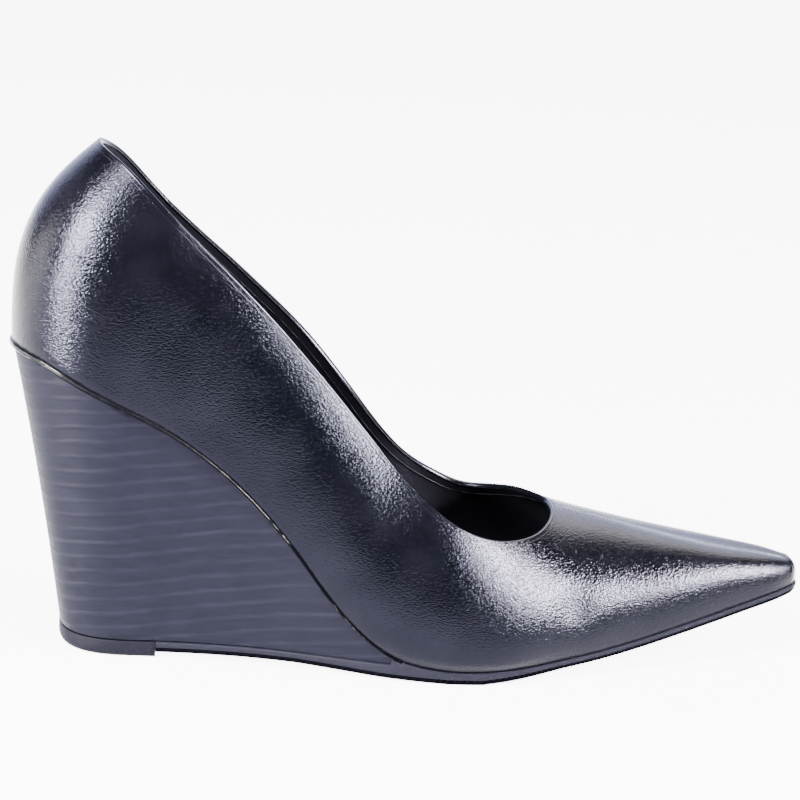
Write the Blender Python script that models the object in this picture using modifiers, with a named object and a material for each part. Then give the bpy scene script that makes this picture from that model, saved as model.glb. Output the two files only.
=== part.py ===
# Wedge pump, right shoe: pointed closed toe, folded topline, covered wedge heel, thin rubber sole.
# Metres, +Z up, toe towards +X, lateral side towards -Y, origin on the floor under the lift.
# The last is a spine of stations from the heel pivot to the toe pivot. Ribs rise from the feather edge, where
# upper meets sole, and fan round the heel and the toe; every piece is worked out from them.
import math

import bmesh
import bpy
import numpy as np

# Driving sizes of the last
SHOE_LENGTH = 0.2342       # feather edge in plan, seat's back edge to toe tip
SEAT_TO_ORIGIN = 0.0307    # seat's back edge to the origin, in plan
HEEL_HEIGHT = 0.0862       # floor to the seat's back edge
BACK_HEIGHT = 0.0566       # seat's back edge up to the top of the collar
VAMP_HEIGHT = 0.0352       # feather edge up to the throat point
THROAT_TO_TIP = 0.0766     # throat point to the toe tip, in plan
BALL_WIDTH = 0.0752        # feather edge across the ball
HEEL_RADIUS = 0.0285       # from the heel pivot to the seat's back edge, in plan
TOE_RADIUS = 0.0046        # from the toe pivot to the tip
TOE_SPRING = 0.0160        # rise of the feather edge from the ball to the toe tip
TOE_SWING = 0.0060         # the toe tip's offset to the medial side
TOE_TURN = math.radians(24)  # how far the ribs turn forward at the toe pivot
COLLAR_LEAN = math.radians(16.6)  # how far the heel's ribs lean forward
COUNTER_BULGE = 0.0082     # swell of the wall behind the seat's back edge
RIDGE_SHIFT = 0.0045       # the vamp's ridge lies this far to the medial side
SWELL_END = 0.88           # share of the crown's height where the swell has died away
HEEL_PIVOT = 0.12          # share of the length where the heel's ribs fan out
TURN_START = 0.61          # share of the length where the ribs start to turn forward
TURN_EASE = 1.5            # how gently that turn sets in; 1 is at once
TOE_EASE = 0.7             # how fast the toe closes past its pivot; 1 is evenly

# Driving sizes of the pieces
GAP = 0.0003               # clearance between neighbouring pieces
UPPER_WALL = 0.0018
INSOLE_THICKNESS = 0.0020
INSOLE_ROUND = 0.0006      # rounding of its upper edge
MIDSOLE_THICKNESS = 0.0012
MIDSOLE_TIP = 0.0006       # its thickness where it runs out at the ball
MIDSOLE_LIP = 0.0004       # beyond the feather edge
MIDSOLE_END = 0.474        # share of the length where it ends
WEDGE_LIP = -0.0010        # inside the feather edge
WEDGE_END = 0.452          # share of the length where it ends
WEDGE_FOOT_BACK = 0.0163   # back of the wedge's foot, forward of the seat's back edge
BALL_STACK = 0.0037        # floor up to the feather edge at the ball
TOE_STACK = 0.0026         # the same through the sole at the toe tip
OUTSOLE_LIP = 0.0006
OUTSOLE_CHAMFER = 0.0007
OUTSOLE_LEAST = 0.0005     # least height of its edge
OUTSOLE_ROUND = 0.12       # share of that height over which its upper edge is rounded
SOLE_WIDENS = (0.40, 0.50)  # shares of the length between which it widens from the wedge's foot to the upper
SHANK_RISE = 0.0018        # outsole's underside over the floor behind the ball
BALL_FLAT = (0.53, 0.575)  # shares of the length between which the outsole lies flat
SHANK_RUN = 0.18           # share of the length over which it rises to the shank
TOE_RUN = 0.10             # share of the length over which it thins to the toe
FOOT_CORNER = 0.7          # how square the back of the foot is; 1 is round
WEDGE_HOLLOW = 0.0007      # how far the back line is hollowed
LIFT_LENGTH = 0.0268
LIFT_THICKNESS = 0.0047
LIFT_BEVEL = 0.0008

# Side view of the feather edge. at: share of the length; heel: share of the drop from the seat to the ball;
# toe: share of the toe spring.
FEATHER = {
    "at":   (0, 0.035, 0.08, 0.12, 0.20, 0.26, 0.30, 0.34, 0.38, 0.42, 0.46, 0.51, 0.56, 0.61, 0.67, 0.75,
             0.84, 0.92, 1.0),
    "heel": (1, 0.976, 0.914, 0.861, 0.744, 0.62, 0.514, 0.388, 0.243, 0.122, 0.044, 0.007, 0, 0, 0, 0,
             0, 0, 0),
    "toe":  (0, 0, 0, 0, 0, 0, 0, 0, 0, 0, 0, 0, 0, 0.045, 0.14, 0.295,
             0.56, 0.82, 1.07),
}
# Sections of the last. lateral, medial: feather edge from the spine, shares of half the ball width; swing: share
# of the toe swing; crown: height over the spine, in vamp heights; bulge: share of the counter bulge; tuck: how low
# that bulge sits, 1 at half its height and lower for less; square: exponent of the section's curve; ridge: share
# of the ridge's shift; lean: share of the collar lean.
SECTIONS = {
    "at":      (0.12, 0.20, 0.28, 0.34, 0.40, 0.46, 0.51, 0.56, 0.61, 0.66, 0.70, 0.74, 0.81, 0.90, 0.96, 1.0),
    "lateral": (0.705, 0.695, 0.72, 0.785, 0.885, 0.957, 0.995, 1.01, 0.98, 0.89, 0.81, 0.72, 0.58, 0.40, 0.265, 0.12),
    "medial":  (0.70, 0.66, 0.62, 0.64, 0.71, 0.83, 0.93, 0.98, 0.965, 0.88, 0.80, 0.715, 0.575, 0.40, 0.265, 0.12),
    "swing":   (0, 0, 0, 0, 0, 0, 0, 0.02, 0.06, 0.12, 0.20, 0.30, 0.52, 0.80, 0.94, 1.0),
    "crown":   (2.42, 2.30, 2.08, 1.98, 1.98, 1.95, 1.76, 1.50, 1.25, 1.045, 0.95, 0.86, 0.67, 0.42, 0.27, 0.155),
    "bulge":   (0.42, 0.38, 0.38, 0.42, 0.46, 0.46, 0.42, 0.36, 0.30, 0.23, 0.18, 0.14, 0.08, 0.04, 0.03, 0.02),
    "tuck":    (1.0, 1.0, 1.0, 0.95, 0.85, 0.70, 0.58, 0.52, 0.55, 0.70, 0.85, 1.0, 1.0, 1.0, 1.0, 1.0),
    "square":  (2.25, 2.15, 1.92, 1.88, 1.90, 2.05, 2.45, 2.55, 2.40, 2.42, 2.50, 2.60, 2.75, 3.10, 3.00, 2.80),
    "ridge":   (0, 0, 0, 0, 0, 0.05, 0.25, 0.60, 0.95, 1.0, 0.80, 0.55, 0.20, 0, 0, 0),
    "lean":    (1.0, 0.90, 0.76, 0.64, 0.52, 0.38, 0.26, 0.16, 0.08, 0, 0, 0, 0, 0, 0, 0),
}
# Side view of the topline. at: share of the length; lateral, medial: share of the way from the throat to the
# collar's top.
TOPLINE = {
    "at":      (0.086, 0.12, 0.16, 0.21, 0.286, 0.365, 0.42, 0.465, 0.50, 0.547, 0.58, 0.62, 0.652, 0.674),
    "lateral": (1.0, 0.956, 0.872, 0.765, 0.601, 0.409, 0.266, 0.148, 0.076, 0.009, -0.018, -0.030, -0.022, 0),
    "medial":  (1.0, 0.937, 0.844, 0.742, 0.600, 0.438, 0.292, 0.164, 0.080, 0.010, -0.021, -0.012, 0.004, 0),
}
# Plan of the wedge's foot. at: share of the length; lateral, medial: shares of half the ball width.
FOOT = {
    "at":      (0.165, 0.23, 0.30, 0.36, 0.42, 0.46),
    "lateral": (0.585, 0.605, 0.665, 0.76, 0.875, 0.94),
    "medial":  (0.585, 0.59, 0.605, 0.65, 0.73, 0.80),
}

# Facet counts
HEEL_FAN = 9
TOE_FAN = 5
FRONT_RIBS = 10
THROAT_RIBS = 7
REAR_RIBS = 17
WALL_POINTS = 13
WALL_CROWD = 1.3           # how much the wall's points crowd towards the feather edge; 1 is not at all
PLATE_ROWS = 60
WEDGE_LEVELS = 5
THROAT_CROWD = 0.016       # stretch behind the throat where ribs crowd together


def curve(table, column, at):
    """Smooth curve through one column of a table: cubic pieces with matched slopes."""
    knots = np.array(table["at"])
    values = np.array(table[column], float)
    slopes = np.gradient(values, knots)
    at = np.clip(at, knots[0], knots[-1])
    i = np.clip(np.searchsorted(knots, at, side="right") - 1, 0, len(knots) - 2)
    span = knots[i + 1] - knots[i]
    t = (at - knots[i]) / span
    return ((2 * t**3 - 3 * t**2 + 1) * values[i] + (t**3 - 2 * t**2 + t) * span * slopes[i]
            + (3 * t**2 - 2 * t**3) * values[i + 1] + (t**3 - t**2) * span * slopes[i + 1])


def to_x(at):
    return at * SHOE_LENGTH - SEAT_TO_ORIGIN


def to_at(x):
    return (np.asarray(x, float) + SEAT_TO_ORIGIN) / SHOE_LENGTH


def feather_height(x):
    """Height of the feather edge over the floor, level across the shoe."""
    heel = (HEEL_HEIGHT - BALL_STACK) * curve(FEATHER, "heel", to_at(x))
    return BALL_STACK + heel + TOE_SPRING * curve(FEATHER, "toe", to_at(x))


THROAT_X = to_x(1) - THROAT_TO_TIP


def topline_height(x, medial):
    """Height of the topline over the floor, as seen from the side; medial runs from 0, the lateral line, to 1."""
    throat = feather_height(THROAT_X) + VAMP_HEIGHT * curve(SECTIONS, "crown", to_at(THROAT_X))
    reach = to_at(x) * TOPLINE["at"][-1] / to_at(THROAT_X)
    lateral = curve(TOPLINE, "lateral", reach)
    rise = lateral + medial * (curve(TOPLINE, "medial", reach) - lateral)
    return throat + (HEEL_HEIGHT + BACK_HEIGHT - throat) * rise


def last_frames(u, side):
    """Frames of the last at the shares u of its length: spine point, outward and upward directions, half width,
    crown height, bulge, tuck, squareness and ridge shift. Short of the heel pivot and past the toe pivot u turns
    the frame round."""
    toe_pivot = 1 - TOE_RADIUS / SHOE_LENGTH
    at = np.clip(u, HEEL_PIVOT, toe_pivot)
    turn = TOE_TURN * np.clip((at - TURN_START) / (toe_pivot - TURN_START), 0, 1) ** TURN_EASE
    to_back = np.clip((HEEL_PIVOT - u) / HEEL_PIVOT, 0, 1)
    to_tip = np.clip((u - toe_pivot) / (1 - toe_pivot), 0, 1)
    angle = turn + (math.pi / 2 - TOE_TURN) * to_tip - math.pi / 2 * to_back
    round_back = np.sin(math.pi / 2 * to_back) ** 2
    half = BALL_WIDTH / 2 * curve(SECTIONS, "lateral" if side < 0 else "medial", at)
    half = half + (HEEL_RADIUS / math.cos(COLLAR_LEAN) - half) * round_back
    half = half + (TOE_RADIUS - half) * to_tip**TOE_EASE
    bulge = COUNTER_BULGE * curve(SECTIONS, "bulge", at)
    lean = COLLAR_LEAN * curve(SECTIONS, "lean", at)
    level = np.zeros_like(at)
    along = np.stack([np.cos(lean), level, -np.sin(lean)], -1)
    x = to_x(at)
    return {
        "spine": np.stack([x, TOE_SWING * curve(SECTIONS, "swing", at), feather_height(x)], -1),
        "out": along * np.sin(angle)[..., None] + np.array([0, side, 0]) * np.cos(angle)[..., None],
        "up": np.stack([np.sin(lean), level, np.cos(lean)], -1),
        "half": half,
        "crown": VAMP_HEIGHT * curve(SECTIONS, "crown", at),
        "bulge": bulge + (COUNTER_BULGE - bulge) * round_back,
        "tuck": curve(SECTIONS, "tuck", at),
        "square": curve(SECTIONS, "square", at),
        "ridge": RIDGE_SHIFT * curve(SECTIONS, "ridge", at),
    }


def last_points(u, share, side):
    """Points of the last's surface at shares u of its length; share runs from 0 at the feather edge to 1 at the
    crown. Across and up follow the cosine and sine of share, each to the power 2 over the squareness."""
    frames = last_frames(u, side)
    power = 2 / frames["square"]
    across = np.cos(share * math.pi / 2).clip(0) ** power
    climb = np.sin(share * math.pi / 2).clip(0) ** power
    swollen = np.minimum(climb / SWELL_END, 1) ** frames["tuck"]
    swell = np.sin(math.pi * swollen) * (1 - swollen**4)
    reach = frames["half"] * across + frames["bulge"] * swell
    rise = frames["crown"] * climb
    points = frames["spine"] + frames["out"] * reach[..., None] + frames["up"] * rise[..., None]
    points[..., 1] += frames["ridge"] * climb**2
    foot = frames["spine"] + frames["out"] * frames["half"][..., None]
    points[..., 2] += (feather_height(foot[..., 0]) - foot[..., 2]) * across
    return points


def topline_share(u, side):
    """How far up the last the topline crosses it at each u; 1 from the throat forward."""
    steps = np.linspace(0, 1, 401)
    points = last_points(np.repeat(u[:, None], len(steps), 1), np.tile(steps, (len(u), 1)), side)
    medial = np.clip(u / HEEL_PIVOT, 0, 1)[:, None] * (side > 0)
    over = points[..., 2] - topline_height(points[..., 0], medial)
    share = np.ones(len(u))
    behind = u < to_at(THROAT_X) - 1e-6
    for i in np.nonzero(behind & (over.max(1) > 0))[0]:
        k = np.argmax(over[i] >= 0)
        share[i] = steps[k] - over[i, k] / (over[i, k] - over[i, k - 1]) * steps[1]
    return share


def wall_ribs():
    """Ribs of the upper from toe to heel: u at the feather edge and u at the top. Behind the throat the tops
    crowd together so that they are evenly spaced round its curve."""
    throat = to_at(THROAT_X)
    toe_pivot = 1 - TOE_RADIUS / SHOE_LENGTH
    share = np.arange(1, THROAT_RIBS + 1) / THROAT_RIBS
    reach = THROAT_CROWD / SHOE_LENGTH
    fan = np.linspace(1, toe_pivot, TOE_FAN + 1)[:-1]
    front = np.linspace(toe_pivot, throat, FRONT_RIBS)
    rear = np.linspace(throat - reach, HEEL_PIVOT, REAR_RIBS)[1:]
    back = np.linspace(HEEL_PIVOT, 0, HEEL_FAN + 1)[1:]
    foot = np.concatenate([fan, front, throat - reach * share, rear, back])
    top = np.concatenate([fan, front, throat - reach * share**2, rear, back])
    return foot, top


def upper_grid(side):
    """Points of one side of the upper, a row for each rib from feather edge to topline."""
    foot, top = wall_ribs()
    climb = np.linspace(0, 1, WALL_POINTS) ** WALL_CROWD
    u = foot[:, None] + (top - foot)[:, None] * climb
    return last_points(u, topline_share(top, side)[:, None] * climb, side)


def feather_plan(side, grow):
    """Plan of the feather edge on one side, moved outward by grow; x rises along it."""
    frames = last_frames(wall_ribs()[0][::-1], side)
    plan = frames["spine"] + frames["out"] * (frames["half"] + grow)[:, None]
    return plan[:, :2]


def foot_plan(side, grow):
    """Plan of the wedge's foot on one side: rounded back, then the table's widths."""
    half = BALL_WIDTH / 2 * np.array(FOOT["lateral" if side < 0 else "medial"])
    pivot = to_x(FOOT["at"][0])
    radius = pivot + SEAT_TO_ORIGIN - WEDGE_FOOT_BACK
    angle = np.linspace(0, math.pi / 2, HEEL_FAN + 1)
    back_x = pivot - (radius + grow) * np.cos(angle) ** FOOT_CORNER
    back_y = side * (half[0] + grow) * np.sin(angle) ** FOOT_CORNER
    front_at = np.linspace(FOOT["at"][0], FOOT["at"][-1], REAR_RIBS)[1:]
    front_y = side * (BALL_WIDTH / 2 * curve(FOOT, "lateral" if side < 0 else "medial", front_at) + grow)
    return np.stack([np.append(back_x, to_x(front_at)), np.append(back_y, front_y)], 1)


def ring(plan, grow, x, height):
    """One level of a stacked solid: the lateral and medial outline points at each row's x, at a height."""
    rows = np.empty((len(x), 2, 3))
    for j, side in enumerate((-1, 1)):
        outline = plan(side, grow)
        rows[:, j, 0] = np.clip(x, outline[0, 0], outline[-1, 0])
        rows[:, j, 1] = np.interp(x, outline[:, 0], outline[:, 1])
    rows[..., 2] = np.asarray(height, float).reshape(-1, 1)
    return rows


def rows_between(start, end, round_start, round_end):
    """Row positions along the shoe, crowded towards rounded ends."""
    turn = np.linspace(0, 1, PLATE_ROWS)
    eased = (1 - np.cos(turn * math.pi)) / 2
    if not round_start:
        eased = np.sin(turn * math.pi / 2)
    if not round_end:
        eased = 1 - np.cos(turn * math.pi / 2)
    return start + (end - start) * eased


def add_object(name, bm, color, roughness):
    mesh = bpy.data.meshes.new(name)
    bm.to_mesh(mesh)
    bm.free()
    material = bpy.data.materials.new(name + "_material")
    material.use_nodes = True
    shader = material.node_tree.nodes["Principled BSDF"]
    shader.inputs["Base Color"].default_value = (*color, 1)
    shader.inputs["Roughness"].default_value = roughness
    mesh.materials.append(material)
    item = bpy.data.objects.new(name, mesh)
    collection.objects.link(item)
    return item


def add_stack(name, rings, color, roughness):
    """Closed solid through rings of equal row count, from the top one down."""
    levels = np.stack(rings)
    count = levels.shape[1]
    bm = bmesh.new()
    verts = [bm.verts.new(p) for p in levels.reshape(-1, 3)]

    def at(level, row, side):
        return verts[(level * count + row) * 2 + side]

    for r in range(count - 1):
        bm.faces.new((at(0, r, 0), at(0, r + 1, 0), at(0, r + 1, 1), at(0, r, 1)))
        last = len(rings) - 1
        bm.faces.new((at(last, r, 1), at(last, r + 1, 1), at(last, r + 1, 0), at(last, r, 0)))
        for k in range(last):
            bm.faces.new((at(k, r, 0), at(k + 1, r, 0), at(k + 1, r + 1, 0), at(k, r + 1, 0)))
            bm.faces.new((at(k, r, 1), at(k, r + 1, 1), at(k + 1, r + 1, 1), at(k + 1, r, 1)))
    for k in range(len(rings) - 1):
        bm.faces.new((at(k, 0, 0), at(k, 0, 1), at(k + 1, 0, 1), at(k + 1, 0, 0)))
        bm.faces.new((at(k, count - 1, 1), at(k, count - 1, 0), at(k + 1, count - 1, 0), at(k + 1, count - 1, 1)))
    bmesh.ops.remove_doubles(bm, verts=bm.verts, dist=1e-5)
    bmesh.ops.recalc_face_normals(bm, faces=bm.faces)
    return add_object(name, bm, color, roughness)


def add_upper():
    """Leather upper: the last's surface from feather edge to topline, with a wall inward."""
    bm = bmesh.new()
    for side in (-1, 1):
        grid = [[bm.verts.new(p) for p in row] for row in upper_grid(side)]
        for low, high in zip(grid[:-1], grid[1:]):
            for k in range(WALL_POINTS - 1):
                corners = (low[k], low[k + 1], high[k + 1], high[k])
                bm.faces.new(corners[::-side])
    bmesh.ops.remove_doubles(bm, verts=bm.verts, dist=1e-5)
    upper = add_object("upper", bm, (0.012, 0.012, 0.014), 0.42)
    wall = upper.modifiers.new("wall", "SOLIDIFY")
    wall.thickness = UPPER_WALL
    wall.offset = -1
    wall.use_even_offset = True
    wall.use_quality_normals = True
    return upper


def midsole_thickness(x):
    run = np.clip(to_at(x) / MIDSOLE_END, 0, 1)
    return MIDSOLE_THICKNESS + (MIDSOLE_TIP - MIDSOLE_THICKNESS) * run**3


def wedge_floor():
    return LIFT_THICKNESS + GAP


def sole_underside(x):
    """Underside of the outsole: over the floor behind the ball, flat at the ball, up to the toe."""
    at = to_at(x)
    behind = SHANK_RISE * np.clip((BALL_FLAT[0] - at) / SHANK_RUN, 0, 1)
    ahead = np.clip((at - BALL_FLAT[1]) / TOE_RUN, 0, 1)
    stack = BALL_STACK + (TOE_STACK - BALL_STACK) * ahead
    return np.where(at < BALL_FLAT[1], behind, np.maximum(feather_height(x) - stack, 0))


def add_insole():
    """Padded sock inside the upper, heel to toe."""
    inset = -(UPPER_WALL + 2 * GAP)
    x = rows_between(feather_plan(1, inset)[0, 0], feather_plan(1, inset)[-1, 0], True, True)
    low = feather_height(x) + GAP
    rings = [
        ring(feather_plan, inset - INSOLE_ROUND, x, low + INSOLE_THICKNESS),
        ring(feather_plan, inset, x, low + INSOLE_THICKNESS - INSOLE_ROUND),
        ring(feather_plan, inset, x, low),
    ]
    return add_stack("insole", rings, (0.02, 0.02, 0.022), 0.7)


def add_midsole():
    """Thin midsole whose glossy edge shows between upper and wedge."""
    x = rows_between(feather_plan(1, MIDSOLE_LIP)[0, 0], to_x(MIDSOLE_END), True, False)
    top = feather_height(x) - GAP
    rings = [
        ring(feather_plan, MIDSOLE_LIP, x, top),
        ring(feather_plan, MIDSOLE_LIP, x, top - midsole_thickness(x)),
    ]
    return add_stack("midsole", rings, (0.015, 0.016, 0.02), 0.25)


def add_wedge():
    """Covered wedge: straight walls from under the midsole down to a smaller raked foot."""
    top_x = rows_between(feather_plan(1, WEDGE_LIP)[0, 0], to_x(WEDGE_END), True, False)
    foot_back = foot_plan(1, 0)[0, 0]
    foot_x = top_x[-1] - (top_x[-1] - top_x) * (top_x[-1] - foot_back) / (top_x[-1] - top_x[0])
    top = ring(feather_plan, WEDGE_LIP, top_x, feather_height(top_x) - 2 * GAP - midsole_thickness(top_x))
    foot = ring(foot_plan, 0, foot_x, np.full(len(foot_x), wedge_floor()))
    rings = []
    for share in np.linspace(0, 1, WEDGE_LEVELS):
        level = top + (foot - top) * share
        to_back = (top_x[-1] - top_x) / (top_x[-1] - top_x[0])
        level[..., 0] += (WEDGE_HOLLOW * 4 * share * (1 - share) * to_back)[:, None]
        rings.append(level)
    return add_stack("wedge", rings, (0.05, 0.05, 0.085), 0.5)


def add_outsole():
    """Thin rubber sole from the lift's front edge under the wedge's foot to the toe."""
    lift_front = WEDGE_FOOT_BACK - SEAT_TO_ORIGIN + LIFT_LENGTH
    start = lift_front + GAP
    tip = feather_plan(1, OUTSOLE_LIP)[-1, 0]
    steps = [to_x(WEDGE_END) + GAP, to_x(WEDGE_END) + 2 * GAP, to_x(MIDSOLE_END) + GAP, to_x(MIDSOLE_END) + 2 * GAP]
    x = np.sort(np.append(rows_between(start, tip, False, True), steps))
    top = feather_height(x) - GAP
    top = np.where(x < steps[3], top - GAP - midsole_thickness(x), top)
    top = np.where(x < steps[1], np.minimum(top, wedge_floor() - GAP), top)
    under = sole_underside(x)

    def sole_plan(side, grow):
        """The wedge's foot behind the ball, the feather edge with a lip from there forward."""
        feather = feather_plan(side, grow)
        foot = foot_plan(side, grow)
        blend = np.clip((to_at(x) - SOLE_WIDENS[0]) / (SOLE_WIDENS[1] - SOLE_WIDENS[0]), 0, 1)
        rear = np.interp(x, foot[:, 0], foot[:, 1])
        front = np.interp(x, feather[:, 0], feather[:, 1])
        return np.stack([x, rear + (front - rear) * (3 * blend**2 - 2 * blend**3)], 1)

    edge = np.maximum(top - under, OUTSOLE_LEAST)
    rings = [
        ring(sole_plan, OUTSOLE_LIP / 2, x, top),
        ring(sole_plan, OUTSOLE_LIP, x, top - edge * OUTSOLE_ROUND),
        ring(sole_plan, OUTSOLE_LIP, x, under + OUTSOLE_CHAMFER),
        ring(sole_plan, OUTSOLE_LIP - OUTSOLE_CHAMFER, x, under),
    ]
    return add_stack("outsole", rings, (0.03, 0.03, 0.035), 0.6)


def add_lift():
    """Rubber heel lift under the wedge's foot."""
    back = foot_plan(1, 0)[0, 0]
    x = rows_between(back, back + LIFT_LENGTH, True, False)
    bevel_x = np.maximum(x, back + LIFT_BEVEL)
    rings = [
        ring(foot_plan, 0, x, LIFT_THICKNESS),
        ring(foot_plan, 0, x, LIFT_BEVEL),
        ring(foot_plan, -LIFT_BEVEL, bevel_x, 0),
    ]
    return add_stack("heel_lift", rings, (0.02, 0.02, 0.022), 0.7)


for leftover in list(bpy.data.objects):
    bpy.data.objects.remove(leftover)
collection = bpy.data.collections.new("wedge_pump")
bpy.context.scene.collection.children.link(collection)

add_upper()
add_insole()
add_midsole()
add_wedge()
add_outsole()
add_lift()
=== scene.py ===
# Wedge pump: the look of the shoe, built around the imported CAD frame.
# Metres, +X to the toe, +Y to the medial side, +Z up; the camera is on the lateral side.
import math

import bmesh
import bpy
import numpy as np
from mathutils import Matrix


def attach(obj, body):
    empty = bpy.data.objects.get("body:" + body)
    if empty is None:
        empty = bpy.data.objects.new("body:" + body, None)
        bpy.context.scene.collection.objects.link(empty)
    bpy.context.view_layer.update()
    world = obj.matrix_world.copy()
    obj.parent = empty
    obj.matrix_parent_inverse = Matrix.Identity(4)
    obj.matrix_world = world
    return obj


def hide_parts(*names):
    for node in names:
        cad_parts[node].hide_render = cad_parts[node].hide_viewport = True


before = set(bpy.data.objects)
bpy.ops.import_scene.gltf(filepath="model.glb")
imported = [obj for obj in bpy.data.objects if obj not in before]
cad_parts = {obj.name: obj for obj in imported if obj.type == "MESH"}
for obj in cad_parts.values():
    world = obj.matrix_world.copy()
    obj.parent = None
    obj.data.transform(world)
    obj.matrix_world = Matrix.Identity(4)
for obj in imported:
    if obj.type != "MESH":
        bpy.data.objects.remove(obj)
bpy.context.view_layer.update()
print("stage: frame loaded")


# Puts a value or another node's output into a shader socket.
def setInput(tree, slot, value):
    if isinstance(value, Field):
        tree.links.new(value.socket, slot)
    else:
        slot.default_value = value


# A node's output; arithmetic on it adds maths nodes.
class Field:
    def __init__(self, tree, socket):
        self.tree = tree
        self.socket = socket

    def maths(self, operation, *others):
        node = self.tree.nodes.new("ShaderNodeMath")
        node.operation = operation
        for slot, value in zip(node.inputs, (self,) + others):
            setInput(self.tree, slot, value)
        return Field(self.tree, node.outputs[0])

    def __add__(self, other):
        return self.maths("ADD", other)

    def __radd__(self, other):
        return self.maths("ADD", other)

    def __sub__(self, other):
        return self.maths("SUBTRACT", other)

    def __rsub__(self, other):
        return self.maths("MULTIPLY", -1) + other

    def __mul__(self, other):
        return self.maths("MULTIPLY", other)

    def __rmul__(self, other):
        return self.maths("MULTIPLY", other)

    def __truediv__(self, other):
        return self.maths("DIVIDE", other)

    def __rtruediv__(self, other):
        return self.maths("POWER", -1) * other


# A material with one Principled shader, and a way to add any other node.
class Look:
    def __init__(self, name, rough=0.5, shine=0.5):
        self.material = bpy.data.materials.new(name)
        self.material.use_nodes = True
        self.tree = self.material.node_tree
        self.shader = self.tree.nodes["Principled BSDF"]
        self.set("Roughness", rough)
        self.set("Specular IOR Level", shine)

    def set(self, key, value):
        setInput(self.tree, self.shader.inputs[key], value)

    def node(self, kind, settings=None, inputs=None, output=0):
        made = self.tree.nodes.new("ShaderNode" + kind)
        for key, value in (settings or {}).items():
            setattr(made, key, value)
        for key, value in (inputs or {}).items():
            setInput(self.tree, made.inputs[key], value)
        return Field(self.tree, made.outputs[output])

    def place(self, scale=None):
        spot = self.node("TexCoord", output="Object")
        return self.node("Mapping", inputs={"Vector": spot, "Scale": scale}) if scale else spot

    def axis(self, name):
        return self.node("SeparateXYZ", inputs={0: self.place()}, output=name)

    def noise(self, scale, detail=2.0, rough=0.5, stretch=None):
        return self.node("TexNoise", inputs={"Vector": self.place(stretch), "Scale": scale, "Detail": detail,
                                             "Roughness": rough})

    def cells(self, scale, stretch=None):
        return self.node("TexVoronoi", inputs={"Vector": self.place(stretch), "Scale": scale})

    def ramp(self, value, low, high, toLow=0.0, toHigh=1.0):
        return self.node("MapRange", {"interpolation_type": "SMOOTHSTEP"},
                         {"Value": value, "From Min": low, "From Max": high, "To Min": toLow, "To Max": toHigh})

    def blend(self, factor, first, second):
        return self.node("Mix", {"data_type": "RGBA"}, {0: factor, 6: first, 7: second}, 2)

    def bump(self, height, distance, strength=1.0, under=None):
        inputs = {"Height": height, "Distance": distance, "Strength": strength}
        if under:
            inputs["Normal"] = under
        return self.node("Bump", inputs=inputs)


# Plain finish: two colours mixed by soft noise, with sharper patches where edges is given, and a fine grain
# where grain is given.
def mottled(name, values):
    look = Look(name, values["rough"], values["shine"])
    patches = look.noise(values["mottle"], 3)
    if "edges" in values:
        patches = look.ramp(patches, *values["edges"])
    look.set("Base Color", look.blend(patches, values["dark"], values["light"]))
    if "grain" in values:
        look.set("Normal", look.bump(look.noise(values["grain"], 3), values["grainDeep"], 0.6))
    return look


# The last, which every piece follows: sizes, then tables by share of the length.
last = {
    "length": 0.2342,          # seat's back edge to toe tip, in plan
    "backToOrigin": 0.0307,
    "heelHeight": 0.0862,
    "backHeight": 0.0566,
    "vampHeight": 0.0352,
    "throatToTip": 0.0766,
    "ballWidth": 0.0752,
    "heelRadius": 0.0285,
    "toeRadius": 0.0046,
    "toeSpring": 0.0160,
    "toeSwing": 0.0060,
    "toeTurn": math.radians(24),
    "turnEase": 1.5,
    "toeEase": 0.7,
    "collarLean": math.radians(16.6),
    "counterBulge": 0.0082,
    "swellEnd": 0.88,
    "ridgeShift": 0.0045,      # the vamp's ridge lies this far to the medial side
    "heelPivot": 0.12,
    "turnStart": 0.61,
    "ballStack": 0.0037,
    "smoothing": 0.010,        # share of the length over which the tables are evened out
}
feather = {
    "at":   (0, 0.035, 0.08, 0.12, 0.20, 0.26, 0.30, 0.34, 0.38, 0.42, 0.46, 0.51, 0.56, 0.61, 0.67, 0.75,
             0.84, 0.92, 1.0),
    "heel": (1, 0.976, 0.914, 0.861, 0.744, 0.62, 0.514, 0.388, 0.243, 0.122, 0.044, 0.007, 0, 0, 0, 0,
             0, 0, 0),
    "toe":  (0, 0, 0, 0, 0, 0, 0, 0, 0, 0, 0, 0, 0, 0.045, 0.14, 0.295,
             0.56, 0.82, 1.07),
}
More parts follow.
